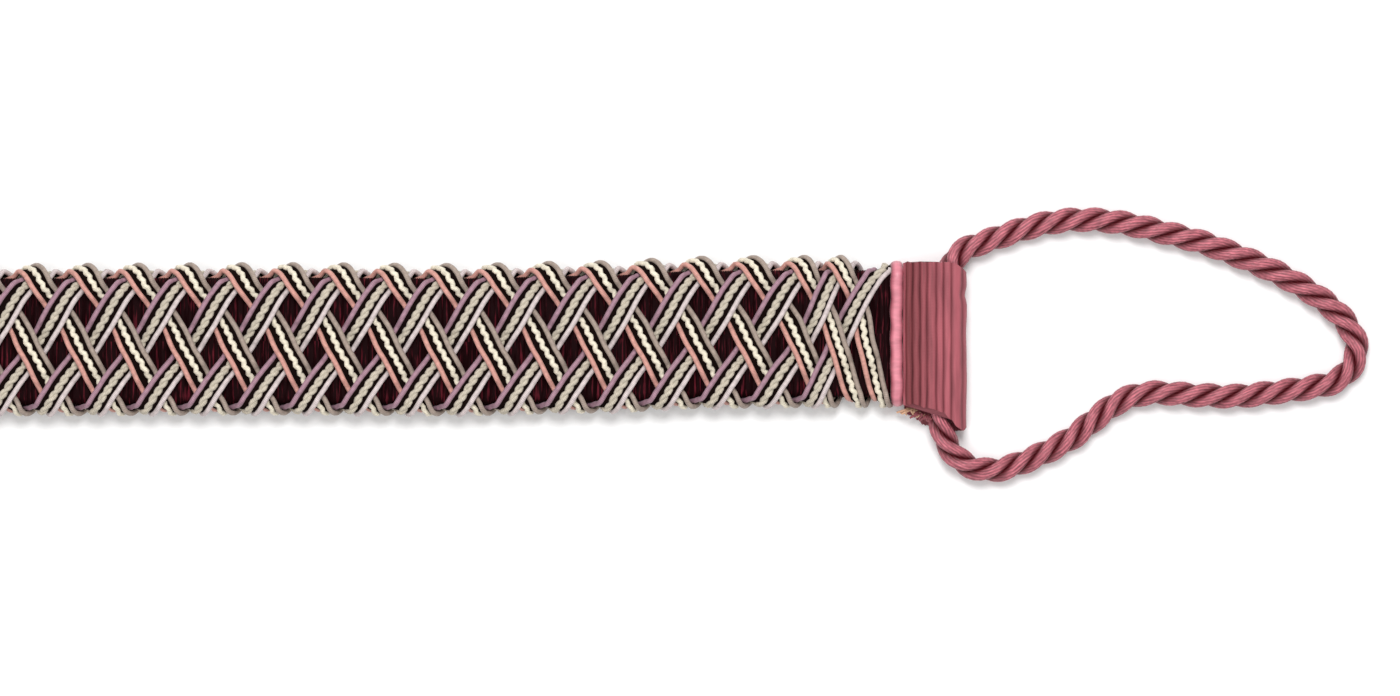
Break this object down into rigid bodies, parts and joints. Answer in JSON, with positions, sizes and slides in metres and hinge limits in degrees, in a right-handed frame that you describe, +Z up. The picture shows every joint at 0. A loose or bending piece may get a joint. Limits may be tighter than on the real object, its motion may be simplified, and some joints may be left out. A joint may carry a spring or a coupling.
{
  "type": "curtain tieback",
  "caption": "Flat padded curtain tieback with a plaited gimp sleeve over a dark core, a ribbed ribbon cuff and a twisted rope loop at each end.",
  "frame": {"origin": "on the surface that the band lies on, under the middle of the band without its rope loops", "axes": "+X along the band towards the end that the picture shows, +Y across it, +Z up out of its face"},
  "size_m": [0.783, 0.0994, 0.0136],
  "materials": {
    "wound_core": "dark burgundy thread, wound close",
    "rising_gimp": "wrapped cords in mauve, pale sage and lilac-white",
    "falling_gimp": "wrapped cords in salmon, cream and taupe",
    "satin_piping": "pink satin",
    "ribbed_cuff": "ribbed rose ribbon",
    "rope": "three-strand dusty-rose rope with a soft sheen"
  },
  "bodies": {
    "root": {"core": "wound_core", "rising_strip_1": "rising_gimp", "rising_strip_2": "rising_gimp", "rising_strip_3": "rising_gimp", "rising_strip_4": "rising_gimp", "falling_strip_1": "falling_gimp", "falling_strip_2": "falling_gimp", "falling_strip_3": "falling_gimp", "falling_strip_4": "falling_gimp", "piping_right": "satin_piping", "piping_left": "satin_piping", "cuff_right": "ribbed_cuff", "cuff_left": "ribbed_cuff", "loop_right": "rope", "loop_left": "rope"}
  },
  "joints": []
}
